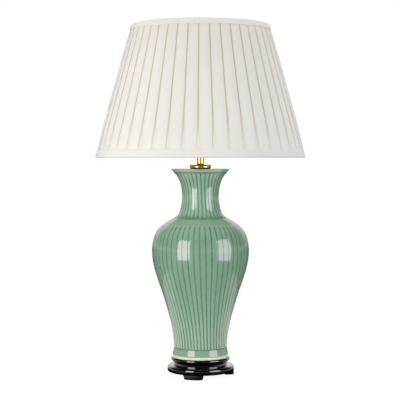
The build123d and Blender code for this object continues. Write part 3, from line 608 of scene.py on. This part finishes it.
def inside_rows():
    """The bare inside, from the bung's hole down to the foot."""
    rows = [row(BUNG_HOLE_R, VASE_H - MOUTH_WALL)]
    step = 0.0005
    for h in np.linspace(VASE_H - MOUTH_WALL, WAIST_H, INSIDE_ROWS):
        slope = (OUTLINE(h + step) - OUTLINE(h - step)) / (2 * step)
        wall = VASE_WALL * math.hypot(1.0, slope)
        rows.append(row(max(float(OUTLINE(h)) - wall, BUNG_HOLE_R + BUNG_COLLAR), h))
    rows.append(row(FOOT_R - FOOT_RING, FOOT_HOLLOW_H))
    return rows


def crowded(count):
    """Angles round the vase, closer together beside the grooves."""
    across = np.linspace(0.0, count, VASE_TURNS, endpoint=False)
    return (across - GROOVE_CROWDING * np.sin(2 * np.pi * across) / (2 * np.pi)) * 2 * np.pi / count


def crossing(angles, count):
    """0 on the crown of each reed and 1 in the groove beside it, evenly between."""
    return np.abs((angles * count / (2 * np.pi)) % 1.0 - 0.5) * 2


def drift_at(curve, points, height):
    return float(curve(min(max(height, points[0][0]), points[-1][0])))


def vase():
    foot = foot_rows()
    glazed = foot_band_rows() + body_rows() + shoulder_rows() + neck_rows() + mouth_rows()
    inside = inside_rows()
    rows = foot + glazed + inside
    radii = np.zeros((len(rows), VASE_TURNS))
    angles = np.zeros_like(radii)
    pools = np.zeros_like(radii)
    thins = np.zeros_like(radii)
    turns = {BODY_FLUTES: crowded(BODY_FLUTES), NECK_FLUTES: crowded(NECK_FLUTES)}
    body_lean = smooth_curve(*zip(*BODY_LEAN))
    neck_lean = smooth_curve(*zip(*NECK_LEAN))
    for i, (r, h, pool, thin, flutes, depth) in enumerate(rows):
        up = np.clip((h - BODY_FLUTES_TO) / (NECK_FLUTES_FROM - BODY_FLUTES_TO), 0.0, 1.0)
        lean = (1 - up) * drift_at(body_lean, BODY_LEAN, h) + up * drift_at(neck_lean, NECK_LEAN, h)
        angles[i] = (1 - up) * turns[BODY_FLUTES] + up * turns[NECK_FLUTES] + math.radians(lean)
        radii[i] = r
        pools[i] = pool
        thins[i] = thin
        if flutes:
            across = crossing(turns[flutes], flutes)
            radii[i] -= depth * (0.5 - 0.5 * np.cos(np.pi * across ** GROOVE_SHARPNESS))
            line = np.exp(-((1 - across) * math.pi * r / flutes / GROOVE_LINE) ** 2)
            pools[i] += (1 - pool) * line
            thins[i] *= (1 - line) ** 2
    heights = VASE_FOOT_Z + np.array([[made[1]] for made in rows])
    faces = grid_faces(len(rows), VASE_TURNS, close_rows=True)
    piece = build("vase_body", ring_points(radii, heights, angles), faces)
    store(piece, "pool", pools)
    store(piece, "thin", thins)
    piece.data.materials.append(celadon())
    piece.data.materials.append(bare_clay())
    bare = [1] * (len(foot) - 1) + [0] * (len(glazed) + 1) + [1] * len(inside)
    piece.data.polygons.foreach_set("material_index", np.repeat(bare, VASE_TURNS))
    return piece


# ---------------------------------------------------------------- shade
def shade_r(z):
    """Radius of the cloth's outer face at a height."""
    share = (z - SHADE_LOW_Z) / SHADE_H
    straight = SHADE_BOTTOM_R + (SHADE_TOP_R - SHADE_BOTTOM_R) * share
    bow = SHADE_BELLY * np.where(share < SHADE_BELLY_AT, share / SHADE_BELLY_AT,
                                 (1 - share) / (1 - SHADE_BELLY_AT))
    return straight + bow - BINDING_T - CLOTH_GAP


def pleat_face(left, right, puff):
    """A pleat's face from fold to fold: (across, depth, painted shade) points."""
    edge = PLEAT_LAYER / 2
    face = []
    for t in np.linspace(0.0, 1.0, FACE_POINTS):
        bow = math.sin(math.pi * t)
        shade_tone = FACE_TONES[0] if t < 0.5 else FACE_TONES[1]
        face.append((left + edge + (right - left - 2 * edge) * t,
                     FACE_INSET - PLEAT_PUFF * puff * bow ** 0.7, shade_tone * (1 - bow) ** 1.5))
    return face


def pleat_section(z, shift, puff):
    """One turn of the folded cloth at a height: angles, depths below the outer face, and the painted shade of
    folds and slits.
    """
    r = float(shade_r(z))
    pitch = 2 * math.pi * r / PLEATS
    share = (z - SHADE_LOW_Z) / SHADE_H
    gap = PLEAT_GAP_TOP + (PLEAT_GAP_BOTTOM - PLEAT_GAP_TOP) * (1 - share) ** PLEAT_GAP_GROWTH
    tuck = (PLEAT_CLOTH - pitch) / 4
    half = (pitch - gap) / 2
    edge = PLEAT_LAYER / 2
    # painted shade on the cloth behind a gap: dark while the gap is narrow, lighter as it opens
    gap_floor_shade = 1.0 - fade(gap, *PLEAT_OPEN)
    gap_side_shade = EDGE_TONE + (1 - EDGE_TONE) * gap_floor_shade
    section = []
    for k in range(PLEATS):
        middle = (k + 0.5) * pitch
        left = -half + shift[k] * 0.5
        right = half + shift[(k + 1) % PLEATS] * 0.5
        # the third number of each point is painted shade: full in the folds, less on the folded edges and the
        # face
        fold = [(left + tuck, PLEAT_LAYER * 2, 1), (left + tuck - edge, PLEAT_LAYER * 1.5, 1),
                (left + tuck, PLEAT_LAYER, 1), (left + edge, PLEAT_LAYER, 1), (left, edge, EDGE_TONE)]
        back = [(right, edge, EDGE_TONE), (right - edge, PLEAT_LAYER, 1), (right - tuck, PLEAT_LAYER, 1),
                (right - tuck + edge, PLEAT_LAYER * 1.5, 1), (right - tuck, PLEAT_LAYER * 2, 1)]
        under = [(right - tuck * 0.4, PLEAT_LAYER * 2, 1), (half - FACE_INSET, PLEAT_LAYER * 2.05, 1),
                 (half + gap * 0.14, PLEAT_LAYER * 2.1, gap_side_shade),
                 (half + gap * 0.5, PLEAT_LAYER * 2.12, gap_floor_shade),
                 (half + gap * 0.86, PLEAT_LAYER * 2.1, gap_side_shade)]
        points = fold + pleat_face(left, right, puff[k]) + back + under
        section += [((middle + across) / r, depth, shade_tone) for across, depth, shade_tone in points]
    angles, depths, shade_tones = np.array(section).T
    # painted shade: the cloth darkens towards the shade's top, and the fold shade fades out near the bottom
    # binding
    upper = TOP_TONE * share ** 1.5
    held = LOW_TONE + (1 - LOW_TONE) * fade(share, 0.03, 0.12)
    return angles + PLEAT_TURN, depths, upper + (1 - upper) * shade_tones * held


def pleated_cover():
    """The cloth in box pleats, one sheet folded three deep at each pleat, with painted shade in its folds and
    slits.
    """
    random = np.random.default_rng(4)
    drift = random.normal(0.0, PLEAT_DRIFT, (3, PLEATS))
    puff = random.uniform(*PLEAT_PUFF_SPREAD, PLEATS)
    rows = []
    shade_tones = []
    for z in np.linspace(SHADE_LOW_Z + PLEAT_INSET, SHADE_HIGH_Z - PLEAT_INSET, SHADE_ROWS):
        t = (z - SHADE_LOW_Z) / SHADE_H
        shift = drift[0] * (1 - t) + drift[1] * t + drift[2] * math.sin(math.pi * t)
        held = fade(t, 0.03, 0.25) * (1 - fade(t, 0.8, 0.97))
        angles, depths, shade_tone = pleat_section(z, shift, puff * held)
        rows.append(ring_points((float(shade_r(z)) - depths)[None, :], np.array([[z]]), angles[None, :]))
        shade_tones.append(shade_tone)
    piece = build("shade_pleats", np.concatenate(rows), grid_faces(SHADE_ROWS, len(rows[0])))
    # the painted shade of the folds and slits, read by the cloth's material
    store(piece, "fold", shade_tones)
    piece.data.materials.append(cloth("pleated_cloth", srgb(240, 237, 234), srgb(232, 229, 224),
                                      1500.0, 0.08, "fold"))
    return piece


def binding(name, edge_z, inward, drop):
    """Tape rolled over an edge of the shade and its wire; inward is +1 at the bottom and -1 at the top."""
    outer = -BINDING_T - CLOTH_GAP
    middle = (BINDING_REACH + outer) / 2
    roll = (BINDING_REACH - outer) / 2

    def at(depth, height):
        z = edge_z + inward * height
        return (float(shade_r(z)) - depth, z)

    def bend(radius):
        return [at(middle - radius * math.cos(turn), roll - drop - abs(radius) * math.sin(turn))
                for turn in np.linspace(0.0, math.pi, BINDING_BEND)]

    skin = [at(outer + 0.00015, BINDING_H), at(outer, BINDING_H - 0.0004),
            at(outer - CLOTH_GAP, BINDING_H / 2)]
    skin += bend(roll) + [at(BINDING_REACH, BINDING_INNER_H)]
    under = [at(BINDING_REACH - BINDING_T, BINDING_INNER_H)]
    under += bend(BINDING_T - roll) + [at(-CLOTH_GAP, BINDING_H - 0.0001)]
    piece = lathe(name, skin + under, SHADE_TURNS)
    piece.data.materials.append(cloth(name + "_cloth", srgb(236, 233, 229), srgb(229, 226, 221),
                                      1100.0, 0.08))
    return piece


def lining():
    heights = np.linspace(SHADE_LOW_Z + LINING_END, SHADE_HIGH_Z - LINING_END, LINING_ROWS)
    section = [(float(shade_r(z)) - LINING_INSET, z) for z in heights]
    piece = lathe("shade_lining_cloth", section, SHADE_TURNS, close=False)
    piece.data.materials.append(cloth("lining_cloth", srgb(244, 240, 232), srgb(236, 230, 219), 1300.0, 0.3))
    return piece


# ---------------------------------------------------------------- felt
def rounded_rectangle(width, length, corner):
    """Outline of a rounded rectangle about its middle, anticlockwise."""
    outline = []
    for quarter, (sx, sy) in enumerate(((1, 1), (-1, 1), (-1, -1), (1, -1))):
        for turn in np.linspace(0.0, math.pi / 2, PAD_CORNER_POINTS):
            angle = quarter * math.pi / 2 + turn
            outline.append((sx * (width / 2 - corner) + corner * math.cos(angle),
                            sy * (length / 2 - corner) + corner * math.sin(angle)))
    return outline


def felt_pads():
    """A felt pad under each foot: rounded rectangles with soft edges."""
    low, high = (corner.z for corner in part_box("felt_pads"))
    points = []
    faces = []
    for foot in range(FEET):
        heading = FEET_TURN + foot * 2 * math.pi / FEET
        start = len(points)
        for inset, share in PAD_SECTION:
            outline = rounded_rectangle(PAD_WIDTH - 2 * inset, PAD_LENGTH - 2 * inset, PAD_CORNER - inset)
            for x, y in outline:
                along = y - PAD_MIDDLE_R
                points.append((x * math.cos(heading) - along * math.sin(heading),
                               x * math.sin(heading) + along * math.cos(heading), low + (high - low) * share))
        columns = len(outline)
        top = start + (len(PAD_SECTION) - 1) * columns
        faces += [tuple(start + i for i in face) for face in grid_faces(len(PAD_SECTION), columns)]
        faces.append(tuple(start + i for i in reversed(range(columns))))
        faces.append(tuple(top + i for i in range(columns)))
    return build("felt_discs", points, faces)


def felt_ring():
    """Felt between the vase's foot and its seat."""
    low, high = (corner.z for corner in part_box("foot_gasket"))
    round_off = (high - low) * 0.3
    section = [(GASKET_INNER_R + round_off, low), (GASKET_OUTER_R - round_off, low),
               (GASKET_OUTER_R, low + round_off),
               (GASKET_OUTER_R, high - round_off), (GASKET_OUTER_R - round_off, high),
               (GASKET_INNER_R + round_off, high), (GASKET_INNER_R, high - round_off),
               (GASKET_INNER_R, low + round_off)]
    return lathe("felt_ring", section, GASKET_TURNS)


# ---------------------------------------------------------------- stage, light and camera
def camera():
    data = bpy.data.cameras.new("camera")
    data.lens = CAMERA_LENS
    data.sensor_width = SENSOR
    data.sensor_fit = "HORIZONTAL"
    data.clip_end = CAMERA_FAR
    seen = bpy.data.objects.new("camera", data)
    bpy.context.scene.collection.objects.link(seen)
    seen.location = (CAMERA_X, -CAMERA_DISTANCE, CAMERA_HEIGHT)
    seen.rotation_euler = (math.radians(90) - CAMERA_TILT, 0.0, 0.0)
    bpy.context.scene.camera = seen


def world_light():
    """White to the camera; reflections show a white backdrop behind the lamp and a dim studio in front."""
    world = bpy.data.worlds.new("studio")
    bpy.context.scene.world = world
    world.use_nodes = True
    tree = Tree(world.node_tree)
    direction = tree.node("ShaderNodeTexCoord").outputs["Generated"]

    def slope(name, span, low, high):
        return tree.spread(tree.axis(direction, name), low, high, *span, run="SMOOTHSTEP")

    behind = tree.maths("MULTIPLY", slope("Y", BEHIND_Y, 0.0, 1.0), slope("Z", BEHIND_Z, 0.0, 1.0))
    front = tree.maths("MULTIPLY", slope("Z", STUDIO_FRONT_Z, STUDIO_LOW, STUDIO_FRONT),
                       slope("Z", STUDIO_HIGH_Z, 1.0, STUDIO_HIGH))
    watched, mirrored = tree.rays()
    level = tree.mix(mirrored, slope("Z", FILL_Z, FILL_LOW, FILL),
                     tree.maths("MAXIMUM", behind, front), "FLOAT")
    background = tree.nodes["Background"]
    background.inputs["Color"].default_value = (1.0, 1.0, 1.0, 1.0)
    tree.feed(tree.mix(watched, level, 1.0, "FLOAT"), background.inputs["Strength"])


def floor():
    """Pale round table, white to the camera and in reflections but for the lamp's shadow."""
    piece = lathe("floor", [(r, -FLOOR_DROP) for r in FLOOR_RINGS], FLOOR_TURNS, close=False)
    look = Look("pale_floor", {"Base Color": FLOOR_WHITE, "Roughness": 0.9})
    watched, mirrored = look.rays()
    across = look.node("ShaderNodeVectorMath", operation="LENGTH")
    look.feed(look.place(), across.inputs[0])
    lit = look.maths("MULTIPLY",
                     look.spread(look.axis(look.place(), "Y"), FLOOR_FRONT, FLOOR_GLOW,
                                 FLOOR_DIM_Y, FLOOR_BRIGHT_Y),
                     look.spread(across.outputs["Value"], 0.0, 1.0, FLOOR_SHADE_R, 1.5 * FLOOR_SHADE_R))
    glow = look.node("ShaderNodeEmission")
    glow.inputs["Color"].default_value = (1.0, 1.0, 1.0, 1.0)
    look.feed(look.maths("ADD", look.maths("MULTIPLY", watched, FLOOR_CAMERA_GLOW),
                         look.maths("MULTIPLY", mirrored, lit)), glow.inputs["Strength"])
    look.blend_with(glow.outputs["Emission"],
                    look.maths("MAXIMUM", look.maths("MULTIPLY", watched, FLOOR_CAMERA), mirrored))
    piece.data.materials.append(look.material)


def area_light(name, power, colour, shape, size):
    light = bpy.data.lights.new(name, "AREA")
    light.shape = shape
    light.size = size
    light.energy = power
    light.color = colour
    lamp = bpy.data.objects.new(name, light)
    bpy.context.scene.collection.objects.link(lamp)
    lamp.visible_camera = False
    return lamp


def softbox(name, heading, distance, width, low, high, power, colour, unseen):
    """Upright rectangular light that faces the lamp."""
    lamp = area_light(name, power, colour, "RECTANGLE", width)
    lamp.data.size_y = high - low
    turn = math.radians(heading)
    lamp.location = (distance * math.sin(turn), -distance * math.cos(turn), (low + high) / 2)
    lamp.rotation_euler = (math.radians(90), 0.0, turn)
    if unseen:
        setattr(lamp, unseen, False)


def overhead():
    lamp = area_light("overhead", OVERHEAD_WATTS, (1.0, 1.0, 1.0), "DISK", OVERHEAD_SIZE)
    lamp.location = OVERHEAD_PLACE
    lamp.visible_glossy = False


def high_light(name, x, power, colour):
    """Soft light high beside the shade, kept off the vase by the shade itself."""
    lamp = area_light(name, power, colour, "DISK", HIGH_SIZE)
    lamp.location = (x, 0.0, HIGH_Z)
    lamp.rotation_euler = (0.0, math.atan2(x, HIGH_AIM), 0.0)
    lamp.visible_glossy = False


bpy.context.scene.view_settings.view_transform = "Standard"
camera()
world_light()
floor()
for box in SOFTBOXES:
    softbox(*box)
overhead()
for lamp in HIGH_LIGHTS:
    high_light(*lamp)

body = vase()
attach(body, "root")
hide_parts("vase")

pleats = pleated_cover()
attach(pleats, "shade")
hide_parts("pleated_cover")

for name, node, edge_z, inward, drop in (
        ("shade_tape_bottom", "bottom_binding", SHADE_LOW_Z, 1, BINDING_DROP),
        ("shade_tape_top", "top_binding", SHADE_HIGH_Z, -1, 0.0)):
    tape = binding(name, edge_z, inward, drop)
    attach(tape, "shade")
    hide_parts(node)

inner = lining()
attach(inner, "shade")
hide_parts("shade_lining")

black_felt = plain("black_felt", srgb(24, 24, 24), srgb(44, 43, 42), 0.95, 900.0, 0.0002)
PADS_AREA = FEET * PAD_WIDTH * PAD_LENGTH
RING_LENGTH = math.pi * (GASKET_OUTER_R + GASKET_INNER_R)
RING_AREA = RING_LENGTH * (GASKET_OUTER_R - GASKET_INNER_R)
for felt, node, flat, area, above in (
        (felt_pads(), "felt_pads", (FEET * PAD_WIDTH, PAD_LENGTH), PADS_AREA, "stand_feet"),
        (felt_ring(), "foot_gasket", (RING_LENGTH, FELT_TAPE), RING_AREA, "stand_collar")):
    felt.data.materials.append(black_felt)
    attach(felt, "root")
    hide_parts(node)

dress(lacquer("black_lacquer", 1.0, 0.5, 0.08, 0.16), "stand_plate", "stand_collar")
dress(lacquer("satin_lacquer", 0.0, 0.25, 0.35, 0.5), "stand_feet")
dress(brass(), "vase_cap", "stem_tube", "holder_cap", "holder_skirt", "shade_ring")
dress(metal("zinc_steel", srgb(150, 152, 155), srgb(186, 188, 190), 0.3),
      "threaded_rod", "clamp_washer", "lock_washer", "clamp_nut", "holder_nut")
dress(metal("contact_brass", srgb(200, 166, 92), srgb(226, 196, 128), 0.3),
      "terminal_screws", "centre_contact", "side_contact", "screw_shell", "bulb_tip")
dress(metal("bulb_aluminium", srgb(196, 197, 199), srgb(220, 220, 222), 0.25), "bulb_cap")
dress(plain("black_rubber", srgb(22, 22, 22), srgb(38, 38, 38), 0.7), "cap_washer")
dress(plain("black_plastic", srgb(18, 18, 19), srgb(30, 30, 31), 0.4),
      "cord_bush", "switch_bar", "bulb_insulator")
dress(plain("porcelain", srgb(224, 221, 212), srgb(238, 236, 230), 0.3), "holder_core")
dress(plain("white_enamel", srgb(226, 226, 223), srgb(240, 240, 238), 0.35, 200.0),
      "shade_fitter", "fitter_arms", "top_wire", "bottom_wire", "shade_struts")
dress(opal_glass(), "bulb_glass")
